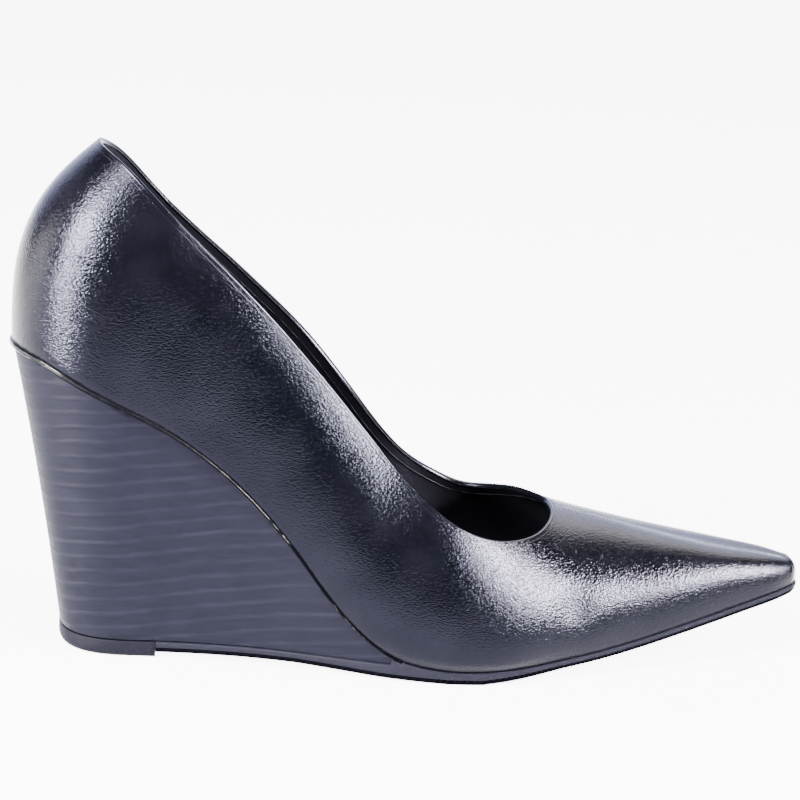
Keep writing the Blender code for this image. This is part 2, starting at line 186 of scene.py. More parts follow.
sections = {
    "at":      (0.12, 0.20, 0.28, 0.34, 0.40, 0.46, 0.51, 0.56, 0.61, 0.66, 0.70, 0.74, 0.81, 0.90, 0.96, 1.0),
    "lateral": (0.705, 0.695, 0.72, 0.785, 0.885, 0.957, 0.995, 1.01, 0.98, 0.89, 0.81, 0.72, 0.58, 0.40, 0.265, 0.12),
    "medial":  (0.70, 0.66, 0.62, 0.64, 0.71, 0.83, 0.93, 0.98, 0.965, 0.88, 0.80, 0.715, 0.575, 0.40, 0.265, 0.12),
    "swing":   (0, 0, 0, 0, 0, 0, 0, 0.02, 0.06, 0.12, 0.20, 0.30, 0.52, 0.80, 0.94, 1.0),
    "crown":   (2.42, 2.30, 2.08, 1.98, 1.98, 1.95, 1.76, 1.50, 1.25, 1.045, 0.95, 0.86, 0.67, 0.42, 0.27, 0.155),
    "bulge":   (0.42, 0.38, 0.38, 0.42, 0.46, 0.46, 0.42, 0.36, 0.30, 0.23, 0.18, 0.14, 0.08, 0.04, 0.03, 0.02),
    "square":  (2.25, 2.15, 1.92, 1.88, 1.90, 2.05, 2.45, 2.55, 2.40, 2.38, 2.30, 2.32, 2.60, 3.10, 3.00, 2.80),
    "ridge":   (0, 0, 0, 0, 0, 0.05, 0.25, 0.60, 0.95, 1.0, 0.80, 0.55, 0.20, 0, 0, 0),
    "tuck":    (1.0, 1.0, 1.0, 0.95, 0.85, 0.70, 0.58, 0.52, 0.55, 0.70, 0.85, 1.0, 1.0, 1.0, 1.0, 1.0),
    "lean":    (1.0, 0.90, 0.76, 0.64, 0.52, 0.38, 0.26, 0.16, 0.08, 0, 0, 0, 0, 0, 0, 0),
}
topline = {
    "at":      (0.086, 0.12, 0.16, 0.21, 0.286, 0.365, 0.42, 0.465, 0.50, 0.547, 0.58, 0.62, 0.652, 0.674),
    "lateral": (1.0, 0.956, 0.872, 0.765, 0.601, 0.409, 0.266, 0.148, 0.076, 0.009, -0.018, -0.030, -0.022, 0),
    "medial":  (1.0, 0.937, 0.844, 0.742, 0.600, 0.438, 0.292, 0.164, 0.080, 0.010, -0.021, -0.012, 0.004, 0),
}
foot = {                       # plan of the wedge's foot, square-cornered at the back
    "at":      (0.165, 0.23, 0.30, 0.36, 0.42, 0.46),
    "lateral": (0.585, 0.605, 0.665, 0.76, 0.875, 0.94),
    "medial":  (0.585, 0.59, 0.605, 0.65, 0.73, 0.80),
    "corner": 0.7,
    "back": 0.0163,
}
sides = {-1: "lateral", 1: "medial"}
evened = {}


# Column of a table as a smooth curve: cubic pieces with matched slopes, then evened by a bell-shaped
# average whose width is last["smoothing"].
def curve(table, column, at):
    key = (id(table), column)
    if key not in evened:
        knots = np.array(table["at"])
        values = np.array(table[column], float)
        slopes = np.gradient(values, knots)
        fine = np.linspace(knots[0], knots[-1], 2001)
        i = np.clip(np.searchsorted(knots, fine, side="right") - 1, 0, len(knots) - 2)
        span = knots[i + 1] - knots[i]
        t = (fine - knots[i]) / span
        raw = ((2 * t**3 - 3 * t**2 + 1) * values[i] + (t**3 - 2 * t**2 + t) * span * slopes[i]
               + (3 * t**2 - 2 * t**3) * values[i + 1] + (t**3 - t**2) * span * slopes[i + 1])
        sigma = last["smoothing"] / (fine[1] - fine[0])
        reach = int(3 * sigma)
        bell = np.exp(-0.5 * (np.arange(-reach, reach + 1) / sigma) ** 2)
        padded = np.pad(raw, reach, mode="reflect", reflect_type="odd")
        evened[key] = (fine, np.convolve(padded, bell / bell.sum(), mode="valid"))
    return np.interp(at, *evened[key])


# x at a share of the length, and the share at an x.
def toX(at):
    return np.asarray(at) * last["length"] - last["backToOrigin"]


def toAt(x):
    return (np.asarray(x, float) + last["backToOrigin"]) / last["length"]


# Eased step from 0 to 1: three t squared less two t cubed.
def eased(t):
    t = np.clip(t, 0, 1)
    return 3 * t**2 - 2 * t**3


# Height of the feather edge: ball stack, plus the heel's share of its drop, plus the toe's share of spring.
def featherHeight(x):
    heel = (last["heelHeight"] - last["ballStack"]) * curve(feather, "heel", toAt(x))
    return last["ballStack"] + heel + last["toeSpring"] * curve(feather, "toe", toAt(x))


throatX = float(toX(1)) - last["throatToTip"]
throatAt = float(toAt(throatX))
toePivot = 1 - last["toeRadius"] / last["length"]


# Height of the topline: from the throat's height by the table's share of the way to the collar's top.
def toplineHeight(x, medial):
    throat = featherHeight(throatX) + last["vampHeight"] * curve(sections, "crown", throatAt)
    reach = toAt(x) * topline["at"][-1] / throatAt
    lateral = curve(topline, "lateral", reach)
    rise = lateral + medial * (curve(topline, "medial", reach) - lateral)
    return throat + (last["heelHeight"] + last["backHeight"] - throat) * rise


# Spine point, outward and upward directions and section sizes at shares u of the length.
def lastFrames(u, side):
    at = np.clip(u, last["heelPivot"], toePivot)
    turning = np.clip((at - last["turnStart"]) / (toePivot - last["turnStart"]), 0, 1)
    turn = last["toeTurn"] * turning ** last["turnEase"]
    toBack = np.clip((last["heelPivot"] - u) / last["heelPivot"], 0, 1)
    toTip = np.clip((u - toePivot) / (1 - toePivot), 0, 1)
    angle = turn + (math.pi / 2 - last["toeTurn"]) * toTip - math.pi / 2 * toBack
    roundBack = np.sin(math.pi / 2 * toBack) ** 2
    half = last["ballWidth"] / 2 * curve(sections, sides[side], at)
    half = half + (last["heelRadius"] / math.cos(last["collarLean"]) - half) * roundBack
    half = half + (last["toeRadius"] - half) * toTip ** last["toeEase"]
    bulge = last["counterBulge"] * curve(sections, "bulge", at)
    lean = last["collarLean"] * curve(sections, "lean", at)
    level = np.zeros_like(at)
    along = np.stack([np.cos(lean), level, -np.sin(lean)], -1)
    x = toX(at)
    return {
        "spine": np.stack([x, last["toeSwing"] * curve(sections, "swing", at), featherHeight(x)], -1),
        "out": along * np.sin(angle)[..., None] + np.array([0, side, 0]) * np.cos(angle)[..., None],
        "up": np.stack([np.sin(lean), level, np.cos(lean)], -1),
        "half": half,
        "crown": last["vampHeight"] * curve(sections, "crown", at),
        "bulge": bulge + (last["counterBulge"] - bulge) * roundBack,
        "square": curve(sections, "square", at),
        "tuck": curve(sections, "tuck", at),
        "ridge": last["ridgeShift"] * curve(sections, "ridge", at),
    }


# Surface points of the last: across follows the cosine and up the sine of share, to the power 2 over the
# squareness, with a swell that dies away at swellEnd of the crown and stands lower the smaller tuck is.
def lastPoints(u, share, side):
    f = lastFrames(u, side)
    power = 2 / f["square"]
    across = np.cos(share * math.pi / 2).clip(0) ** power
    climb = np.sin(share * math.pi / 2).clip(0) ** power
    swollen = np.minimum(climb / last["swellEnd"], 1) ** f["tuck"]
    swell = np.sin(math.pi * swollen) * (1 - swollen**4)
    reach = f["half"] * across + f["bulge"] * swell
    points = f["spine"] + f["out"] * reach[..., None] + f["up"] * (f["crown"] * climb)[..., None]
    points[..., 1] += f["ridge"] * climb**2
    edge = f["spine"] + f["out"] * f["half"][..., None]
    points[..., 2] += (featherHeight(edge[..., 0]) - edge[..., 2]) * across
    return points


# Share of the way up at which the topline crosses each rib, 1 from the throat forward: the first of 801 steps
# over the topline, moved back in proportion to the two heights beside the crossing.
def toplineShare(u, side):
    steps = np.linspace(0, 1, 801)
    points = lastPoints(np.repeat(u[:, None], len(steps), 1), np.tile(steps, (len(u), 1)), side)
    medial = np.clip(u / last["heelPivot"], 0, 1)[:, None] * (side > 0)
    over = points[..., 2] - toplineHeight(points[..., 0], medial)
    k = np.maximum(np.argmax(over >= 0, axis=1), 1)
    rows = np.arange(len(u))
    crossing = steps[k] - over[rows, k] / (over[rows, k] - over[rows, k - 1]) * steps[1]
    cut = (u < throatAt - 1e-6) & (over.max(1) > 0)
    return np.where(cut, crossing, 1.0)


# Running length along a path, starting at 0.
def pathRun(path):
    return np.append(0, np.cumsum(np.linalg.norm(np.diff(path, axis=0), axis=1)))


# Columns of values at given steps of a running length.
def alongRun(steps, run, values):
    return np.stack([np.interp(steps, run, values[:, k]) for k in range(values.shape[1])], 1)


# Closed loop at count even steps in all: the lateral path from back to front, then the medial one back, so that
# point i pairs with point -1-i.
def closeLoop(paths, count):
    even = []
    for path in paths:
        run = pathRun(path)
        even.append(alongRun(np.linspace(0, run[-1], count // 2), run, path))
    return np.concatenate([even[0], even[1][::-1]])


# Plan of one side of the feather edge moved outward by grow, up to share end of the length.
def featherSide(side, grow, end=1.0):
    f = lastFrames(np.linspace(0, 1, 4000), side)
    plan = (f["spine"] + f["out"] * (f["half"] + grow)[:, None])[:, :2]
    return plan[plan[:, 0] <= toX(end)] if end < 1 else plan


def featherLoop(count, grow, end=1.0):
    return closeLoop([featherSide(side, grow, end) for side in sides], count)


# Half width of the wedge's foot at each x.
def footHalf(side, x):
    return last["ballWidth"] / 2 * curve(foot, sides[side], toAt(x))


# Closed plan of the wedge's foot up to x = end. The back corner follows cosine and sine of a quarter turn to the
# power corner, which squares it.
def footLoop(count, grow, end):
    pivot = float(toX(foot["at"][0]))
    radius = pivot + last["backToOrigin"] - foot["back"]
    angle = np.linspace(0, math.pi / 2, 300)
    paths = []
    for side in sides:
        corner = np.stack([pivot - (radius + grow) * np.cos(angle) ** foot["corner"],
                           side * (footHalf(side, pivot) + grow) * np.sin(angle) ** foot["corner"]], 1)
        x = np.linspace(pivot, end, 400)[1:]
        paths.append(np.concatenate([corner, np.stack([x, side * (footHalf(side, x) + grow)], 1)]))
    return closeLoop(paths, count)


# Vectors brought to length 1.
def unit(values):
    return values / np.maximum(np.linalg.norm(values, axis=-1, keepdims=True), 1e-12)


# Average of each entry of a closed loop with its neighbours.
def smoothLoop(values, reach=3):
    total = sum(np.roll(values, k, axis=0) for k in range(-reach, reach + 1))
    return total / (2 * reach + 1)


# One mesh object from points and faces: doubled points joined, faces turned outward, edges over crease degrees
# sharp. It rides the root body, in place of a node where one is given.
def makePiece(name, points, faces, look, replaced=None, crease=40):
    mesh = bpy.data.meshes.new(name)
    mesh.from_pydata(points.reshape(-1, 3).tolist(), [], faces.tolist())
    mesh.validate()
    bm = bmesh.new()
    bm.from_mesh(mesh)
    bmesh.ops.remove_doubles(bm, verts=bm.verts, dist=2e-6)
    bmesh.ops.recalc_face_normals(bm, faces=bm.faces)
    bm.to_mesh(mesh)
    bm.free()
    mesh.shade_smooth()
    mesh.set_sharp_from_angle(angle=math.radians(crease))
    mesh.materials.append(look.material)
    piece = bpy.data.objects.new(name, mesh)
    bpy.context.scene.collection.objects.link(piece)
    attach(piece, "root")
    if replaced:
        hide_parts(replaced)
    return piece


# Corner numbers of the quads of a grid, wrapping round where it closes.
def gridFaces(rows, columns, closeRows=False, closeColumns=False):
    r = np.arange(rows if closeRows else rows - 1)[:, None]
    c = np.arange(columns if closeColumns else columns - 1)[None, :]
    nextR = (r + 1) % rows
    nextC = (c + 1) % columns
    corners = [r * columns + c, r * columns + nextC, nextR * columns + nextC, nextR * columns + c]
    return np.stack(corners, -1).reshape(-1, 4)


# Closed solid through closed loops, from the top level down; caps join point i to point -1-i.
def loopSolid(name, levels, look, replaced, crease):
    levels = np.asarray(levels)
    count = levels.shape[1]
    walls = gridFaces(len(levels), count, closeColumns=True)
    i = np.arange(count // 2 - 1)
    cap = np.stack([i, i + 1, count - 2 - i, count - 1 - i], 1)
    bottom = cap[:, ::-1] + (len(levels) - 1) * count
    faces = np.concatenate([walls[:, ::-1], cap, bottom])
    return makePiece(name, levels, faces, look, replaced, crease)


# Closed tube round a closed path: each ring is centre + wide cos(a) across + tall sin(a) upward.
def sweepTube(name, path, across, upward, wide, tall, look, around):
    a = np.linspace(0, 2 * math.pi, around, endpoint=False)
    ring = (path[:, None] + across[:, None] * (wide * np.cos(a))[None, :, None]
            + upward[:, None] * (tall * np.sin(a))[None, :, None])
    faces = gridFaces(len(path), around, closeRows=True, closeColumns=True)
    return makePiece(name, ring, faces, look, crease=80)


print("stage: helpers ready")

# Upper.
upper = {
    "wall": 0.0018,
    "hem": 0.0004, "hemRows": ((1.0, 1.0), (0.3, 0.6)),      # shares of hem inward and down
    "toeFanRibs": 16, "frontRibs": 56, "throatRibs": 44, "rearRibs": 90, "heelFanRibs": 40, "rows": 44,
    "crowd": 0.016,            # length behind the throat over which the ribs' tops crowd together
    "leather": {
        "color": (0.0004, 0.0004, 0.0008, 1), "worn": (0.0008, 0.0008, 0.0014, 1), "wornScale": 90,
        "wornEdges": (0.35, 0.7), "shine": 0.095, "tint": (0.66, 0.69, 1.0, 1), "rough": (0.15, 0.19), "roughScale": 400,
        "roughEdges": (0.3, 0.7),
        "grainScale": 2000, "grainDeep": 0.00014, "grainStretch": (0.72, 1, 1.15),
        "cellScale": 1600, "cellShare": 0.3,
        "poreScale": 4200, "poreDeep": 0.00002, "waveScale": 42, "waveDeep": 0.0004,
    },
    "foldLeather": {"rough": (0.18, 0.24), "grainDeep": 0.00002, "shine": 0.12},    # where it differs from leather
    "lining": {
        "dark": (0.0032, 0.0032, 0.0056, 1), "light": (0.0048, 0.0048, 0.0082, 1), "mottle": 500,
        "rough": 0.62, "shine": 0.06, "grain": 1600, "grainDeep": 0.00004,
    },
}
# Hollows, a column for each: the pinch where the ball meets the toe box.
dents = {
    "centre": ((0.1300, -0.0325, 0.0215),),
    "line":   ((1, 0.3, -0.6),),
    "length": (0.0045,),
    "width":  (0.0042,),
    "deep":   (0.0009,),
}


# Near-black leather: large soft waves, then pores, then pebbled cells drawn out along the shoe, each a bump on
# the one before.
def leather(name, values):
    look = Look(name, shine=values["shine"])
    worn = look.ramp(look.noise(values["wornScale"], 3), *values["wornEdges"])
    look.set("Base Color", look.blend(worn, values["color"], values["worn"]))
    patches = look.noise(values["roughScale"], 3)
    look.set("Roughness", look.ramp(patches, *values["roughEdges"], *values["rough"]))
    look.set("Specular Tint", values["tint"])
    wave = look.bump(look.noise(values["waveScale"], 1), values["waveDeep"])
    pores = look.bump(look.noise(values["poreScale"], 2), values["poreDeep"], 1.0, wave)
    pebble = look.noise(values["grainScale"], 1.5, 0.5, values["grainStretch"])
    cracks = look.cells(values["cellScale"], values["grainStretch"])
    look.set("Normal", look.bump(pebble + cracks * values["cellShare"], values["grainDeep"], 1.0, pores))
    return look


upperLeather = leather("upperLeather", upper["leather"])
foldLeather = leather("foldLeather", {**upper["leather"], **upper["foldLeather"]})
liningLook = mottled("lining", upper["lining"])


# u at the feather edge and at the top for each rib, toe to heel. Behind the throat the tops lie at crowd times
# the square of the rib's share, so that they crowd together where the topline turns.
def wallRibs():
    share = np.arange(1, upper["throatRibs"] + 1) / upper["throatRibs"]
    reach = upper["crowd"] / last["length"]
    fan = np.linspace(1, toePivot, upper["toeFanRibs"] + 1)[:-1]
    front = np.linspace(toePivot, throatAt, upper["frontRibs"])
    rear = np.linspace(throatAt - reach, last["heelPivot"], upper["rearRibs"])[1:]
    back = np.linspace(last["heelPivot"], 0, upper["heelFanRibs"] + 1)[1:]
    low = np.concatenate([fan, front, throatAt - reach * share, rear, back])
    high = np.concatenate([fan, front, throatAt - reach * share**2, rear, back])
    return low, high


# Unit normals of a wall grid from its row and column steps, turned away from the foot.
def outwardNormals(grid, side):
    n = unit(np.cross(np.gradient(grid, axis=0), np.gradient(grid, axis=1)))
    return n * np.sign(np.sum(n[:, 3] * np.array([0, side, 0])))


# Sum of bell-shaped dents, depth * exp(-distance^2 / (2 radius^2)), each stretched along its own line.
def dentDepth(points):
    depth = np.zeros(points.shape[:-1])
    for centre, line, length, width, deep in zip(*dents.values()):
        away = points - np.array(centre)
        along = away @ unit(np.array(line, float))
        aside = np.sum(away**2, -1) - along**2
        depth += deep * np.exp(-0.5 * (along / length) ** 2 - 0.5 * aside / width**2)
    return depth


# Outer surface of one side: a row for each rib, from the feather edge to the top, pressed in by the dents.
def upperGrid(side):
    low, high = wallRibs()
    climb = np.linspace(0, 1, upper["rows"])
    u = low[:, None] + (high - low)[:, None] * climb
    grid = lastPoints(u, toplineShare(high, side)[:, None] * climb, side)
    return grid - outwardNormals(grid, side) * dentDepth(grid)[..., None]


# The grid with the hem rows ahead of it, which turn the lower edge inward with a small radius.
def withHem(grid, normals):
    inward = normals[:, 1:2] * np.array([-upper["hem"], -upper["hem"], 0])
    down = np.array([0, 0, -upper["hem"]])
    hem = [grid[:, :1] + inward * inShare + down * downShare for inShare, downShare in upper["hemRows"]]
    return np.concatenate([*hem, grid], axis=1)


grids = {side: upperGrid(side) for side in sides}
normals = {side: outwardNormals(grids[side], side) for side in sides}
hemmed = {side: withHem(grids[side], normals[side]) for side in sides}
quads = gridFaces(*hemmed[-1].shape[:2])
pointCount = hemmed[-1].shape[0] * hemmed[-1].shape[1]
shellPoints = np.concatenate([hemmed[-1], hemmed[1]])
shellFaces = np.concatenate([quads[:, ::-1], quads + pointCount])
shell = makePiece("upperShell", shellPoints, shellFaces, upperLeather, "upper", 60)
shell.data.materials.append(liningLook.material)
wall = shell.modifiers.new("wall", "SOLIDIFY")
wall.thickness = upper["wall"]
wall.offset = -1
wall.use_even_offset = True
wall.use_quality_normals = True
wall.material_offset = 1
wall.material_offset_rim = 0
print("stage: upper shell", len(shell.data.vertices))

# Topline: folded edge, a fine line below the fold, and the lining's seam.
rim = {
    "points": 720,
    "foldWide": 0.00098, "foldTall": 0.0007, "foldDrop": 0.0005, "foldSides": 16,
    "line": 0.00014, "lineDrop": 0.0016, "lineSunk": 0.4,      # sunk by this share of its radius
    "seam": 0.00013, "seamDrop": 0.0030, "seamGap": 0.0001, "threadSides": 8,
    "seamLook": {
        "dark": (0.0034, 0.0034, 0.0058, 1), "light": (0.012, 0.012, 0.017, 1), "mottle": 260,
        "edges": (0.35, 0.65), "rough": 0.4, "shine": 0.06,
    },
}


# The topline as one closed path at even steps with its outward directions: lateral side from throat to back,
# then the medial side back to the throat.
def toplineLoop(count):
    rows = wallRibs()[1] <= throatAt + 1e-6
    path = np.concatenate([grids[-1][rows, -1], grids[1][rows, -1][::-1][1:-1]])
    outward = smoothLoop(np.concatenate([normals[-1][rows, -2], normals[1][rows, -2][::-1][1:-1]]))
    closed = np.concatenate([path, path[:1]])
    run = pathRun(closed)
    steps = np.linspace(0, run[-1], count, endpoint=False)
    return alongRun(steps, run, closed), unit(alongRun(steps, run, np.concatenate([outward, outward[:1]])))


# Points laid onto the outer wall, with the normals there: each moves along the normal of the nearest wall point
# by its height over that point's plane.
def ontoWall(points):
    upperHalf = upper["rows"] // 2
    cloud = np.concatenate([grids[side][:, upperHalf:].reshape(-1, 3) for side in sides])
    cloudNormals = np.concatenate([normals[side][:, upperHalf:].reshape(-1, 3) for side in sides])
    near = np.argmin(np.sum(cloud**2, 1) - 2 * points @ cloud.T, axis=1)
    n = cloudNormals[near]
    return points - n * np.sum((points - cloud[near]) * n, axis=1, keepdims=True), n


edgePath, edgeOut = toplineLoop(rim["points"])
edgeAlong = unit(np.roll(edgePath, -1, axis=0) - np.roll(edgePath, 1, axis=0))
edgeUp = np.cross(edgeAlong, edgeOut)
edgeUp = unit(edgeUp * np.sign(edgeUp[:, 2].sum()))
foldPath = edgePath - edgeOut * upper["wall"] / 2 - edgeUp * rim["foldDrop"]
sweepTube("toplineFold", foldPath, edgeOut, edgeUp, rim["foldWide"], rim["foldTall"], foldLeather,
          rim["foldSides"])
seamPath = edgePath - edgeOut * (upper["wall"] + rim["seamGap"]) - edgeUp * rim["seamDrop"]
sweepTube("liningSeam", seamPath, edgeOut, edgeUp, rim["seam"], rim["seam"], mottled("seam", rim["seamLook"]),
          rim["threadSides"])
linePath, lineOut = ontoWall(edgePath - edgeUp * rim["lineDrop"])
linePath = smoothLoop(linePath) - smoothLoop(lineOut) * rim["line"] * rim["lineSunk"]
sweepTube("foldLine", linePath, lineOut, edgeUp, rim["line"], rim["line"], foldLeather,
          rim["threadSides"])
print("stage: topline")

# Insole.
insole = {
    "inset": 0.0026, "gap": 0.0003, "thick": 0.0020, "points": 400,
    "levels": ((0.0018, 1.0), (0.0012, 0.92), (0.0003, 0.7), (0, 0.4), (0, 0)),     # inward, share of the thickness
    "look": {
        "dark": (0.005, 0.005, 0.008, 1), "light": (0.008, 0.008, 0.012, 1), "mottle": 300,
        "rough": 0.7, "shine": 0.06, "grain": 1500, "grainDeep": 0.00004,
    },
}
levels = []
for inward, share in insole["levels"]:
    loop = featherLoop(insole["points"], -insole["inset"] - inward)
    height = featherHeight(loop[:, 0]) + insole["gap"] + insole["thick"] * share
    levels.append(np.column_stack([loop, height]))
loopSolid("sock", levels, mottled("sock", insole["look"]), "insole", 50)
print("stage: insole")

# Glossy strip between upper and wedge.
strip = {
    "gap": 0.00018, "end": 0.474, "thick": 0.0010, "tip": 0.0002, "tipPower": 7,
    "backThick": 0.0019, "backShare": 0.14, "backPower": 1.2, "lip": 0.0005, "tuckIn": 0.0006, "points": 900,
    # share of the lip, share of the thickness, share of the wobble
    "levels": ((0.0, 0.06, 1), (0.9, 0.28, 1), (1.0, 0.5, 1), (0.7, 0.62, 1), (1.0, 0.78, 1), (0.3, 0.96, 0)),
    "wobble": 0.000055, "wobbleEnd": 0.2, "wobbleLeast": 0.15,
    "waves": ((37, 1, 1), (83, 0.6, 2.1), (141, 0.4, 0.7)),      # waves round the loop, strength, shift
    "look": {
        "dark": (0.0006, 0.0006, 0.0011, 1), "light": (0.0014, 0.0014, 0.0022, 1), "mottle": 200,
        "rough": 0.22, "shine": 0.10, "grain": 260, "grainDeep": 0.0004,
    },
}


# Thick at the back, thin along the waist, running out at the ball.
def stripThickness(x):
    at = toAt(x)
    back = np.clip(1 - at / strip["backShare"], 0, 1) ** strip["backPower"]
    out = np.clip(at / strip["end"], 0, 1) ** strip["tipPower"]
    return strip["thick"] + (strip["backThick"] - strip["thick"]) * back + (strip["tip"] - strip["thick"]) * out


# Hand-made unevenness along a loop: a sum of sines of unlike length, strongest at the back.
def wobble(loop, seed):
    i = np.arange(len(loop)) / len(loop) * 2 * math.pi
    waves = sum(strength * np.sin(count * i + shift * seed) for count, strength, shift in strip["waves"])
    return strip["wobble"] * waves * np.clip(1 - toAt(loop[:, 0]) / strip["wobbleEnd"], strip["wobbleLeast"], 1)


# One level of the strip: moved outward by grow, at a share of its thickness.
def stripLevel(grow, share, uneven=0, seed=0):
    loop = featherLoop(strip["points"], grow, strip["end"])
    top = featherHeight(loop[:, 0]) - strip["gap"]
    return np.column_stack([loop, top - stripThickness(loop[:, 0]) * share + wobble(loop, seed) * uneven])


levels = [stripLevel(-strip["tuckIn"], 0)]
for seed, (grow, share, uneven) in enumerate(strip["levels"], 1):
    levels.append(stripLevel(strip["lip"] * grow, share, uneven, seed))
levels.append(stripLevel(-strip["tuckIn"], 1))
loopSolid("rand", levels, mottled("rand", strip["look"]), "midsole", 60)
print("stage: strip")

# Wedge.
wedge = {
    "inset": 0.0008, "gap": 0.0002, "end": 0.462, "floor": 0.0050, "hollow": 0.0007, "points": 500, "levels": 40,
    "bevel": 0.0004, "bevelNarrow": 0.985, "bevelShare": 0.004, "footPoints": 4000, "footPast": 0.001,
    "dark": (0.0015, 0.0016, 0.0033, 1), "light": (0.0021, 0.0022, 0.0044, 1), "line": (0.0031, 0.0032, 0.0058, 1),
    "linePitch": 0.0042, "slope": math.radians(8.5), "lineWidth": 0.24, "lineDeep": 0.00007,
    "wave": 0.0010, "waveScale": 45, "jitterScale": 400, "brokenScale": 120,
    "grainScale": 160, "grainStretch": (1, 1, 6), "rough": (0.40, 0.52), "shine": 0.03,
    "fineScale": 2200, "fineDeep": 0.00003,
    "grainEdges": (0.3, 0.7), "brokenEdges": (0.42, 0.62), "brokenShare": 0.7, "wholeShare": 0.25,
}


# Cover of the wedge: lighter lines every linePitch, tilted up towards the toe, wavy and broken, over a base
# drawn out level.
def wedgeCover(values):
    look = Look("wedgeCover", shine=values["shine"])
    wander = ((look.noise(values["waveScale"], 2) - 0.5) * values["wave"] * 2
              + (look.noise(values["jitterScale"], 2) - 0.5) * values["wave"] * 0.5)
    height = look.axis("Z") * math.cos(values["slope"]) - look.axis("X") * math.sin(values["slope"])
    step = ((height + wander) / values["linePitch"]).maths("FRACT")
    ridge = look.ramp((step - 0.5).maths("ABSOLUTE"), 0.5 - values["lineWidth"], 0.5)
    broken = look.ramp(look.noise(values["brokenScale"], 3), *values["brokenEdges"])
    grain = look.noise(values["grainScale"], 4, 0.6, values["grainStretch"])
    base = look.blend(look.ramp(grain, *values["grainEdges"]), values["dark"], values["light"])
    strength = broken * values["brokenShare"] + values["wholeShare"]
    look.set("Base Color", look.blend(ridge * strength, base, values["line"]))
    look.set("Roughness", look.ramp(grain, *values["grainEdges"], *values["rough"]))
    fine = look.bump(look.noise(values["fineScale"], 3), values["fineDeep"], 0.5)
    look.set("Normal", look.bump(ridge, values["lineDeep"], 1.0, fine))
    return look


# Levels from the seat down to the foot in straight shares, with the back drawn in by hollow * 4 s (1 - s) and a
# small bevel at both ends.
def wedgeLevels():
    topLoop = featherLoop(wedge["points"], -wedge["inset"], wedge["end"])
    topZ = featherHeight(topLoop[:, 0]) - strip["gap"] - stripThickness(topLoop[:, 0]) - wedge["gap"]
    endX = float(toX(wedge["end"]))
    backTop = topLoop[:, 0].min()
    toBack = (endX - topLoop[:, 0]) / (endX - backTop)
    footX = endX - toBack * (endX - (foot["back"] - last["backToOrigin"]))
    lateral, medial = np.split(footLoop(wedge["footPoints"], 0, endX + wedge["footPast"]), 2)
    medial = medial[::-1]
    footY = np.where(np.arange(len(topLoop)) < len(topLoop) // 2,
                     np.interp(footX, lateral[:, 0], lateral[:, 1]), np.interp(footX, medial[:, 0], medial[:, 1]))
    topRing = np.column_stack([topLoop, topZ])
    footRing = np.column_stack([footX, footY, np.full(len(topLoop), wedge["floor"])])
    made = []
    for share in [0, *np.linspace(wedge["bevelShare"], 1 - wedge["bevelShare"], wedge["levels"]), 1]:
        level = topRing + (footRing - topRing) * share
        level[:, 0] += wedge["hollow"] * 4 * share * (1 - share) * toBack
        if share in (0, 1):
            level[:, 1] *= wedge["bevelNarrow"]
            level[:, 0] += wedge["bevel"] * toBack
        made.append(level)
    return made


loopSolid("wedgeBlock", wedgeLevels(), wedgeCover(wedge), "wedge", 50)
print("stage: wedge")

# Outsole.
sole = {
    "start": 0.01246, "gap": 0.00018, "points": 2600, "topShare": 0.2, "lowShare": 0.55,
    "toeStack": 0.0026, "toeRun": 0.10, "shankRise": 0.0018, "shankRun": 0.18, "flatFrom": 0.53, "flatTo": 0.575,
    "spreadFrom": 0.40, "spreadRun": 0.10,      # where the plan goes over from the wedge's foot to the feather edge
    "tread": 0.00144, "toothPitch": 0.0018, "toothDeep": 0.00022, "teethFrom": 0.50, "teethRun": 0.03,
    "topRows": ((-0.0006, 0.0), (0.0002, 0.0), (0.00055, 0.00018), (0.0006, 0.0004)),      # outward, below the top
    # outward, above the underside, share of the teeth
    "lowRows": ((0.0006, 0.00160, 0), (0.00052, 0.00148, 0.5), (0.00025, 0.00138, 1.0), (0.00032, 0.00124, 1.6),
                (0.00036, 0.00065, 1.6), (0.0002, 0.00018, 1.2), (-0.0002, 0.0, 0), (-0.0012, 0.0, 0)),
    "look": {
        "dark": (0.0024, 0.0025, 0.0046, 1), "light": (0.0036, 0.0037, 0.0062, 1), "mottle": 500,
        "rough": 0.5, "shine": 0.03, "grain": 1500, "grainDeep": 0.00004,
    },
    "treadLook": {
        "dark": (0.0003, 0.0003, 0.0006, 1), "light": (0.0007, 0.0007, 0.0012, 1), "mottle": 500,
        "rough": 0.9, "shine": 0.0, "grain": 1500, "grainDeep": 0.00004,
    },
}


# Underside: over the floor behind the ball, flat at the ball, following the feather edge to the toe.
def soleUnder(x):
    at = toAt(x)
    behind = sole["shankRise"] * np.clip((sole["flatFrom"] - at) / sole["shankRun"], 0, 1)
    ahead = np.clip((at - sole["flatTo"]) / sole["toeRun"], 0, 1)
    stack = last["ballStack"] + (sole["toeStack"] - last["ballStack"]) * ahead
    return np.where(at < sole["flatTo"], behind, np.maximum(featherHeight(x) - stack, 0))


# Topside: under the wedge's foot, then the strip, then the upper.
def soleTop(x):
    top = featherHeight(x) - sole["gap"]
    top = np.where(toAt(x) < strip["end"], top - stripThickness(x) - sole["gap"], top)
    return np.where(toAt(x) < wedge["end"], np.minimum(top, wedge["floor"] - sole["gap"]), top)


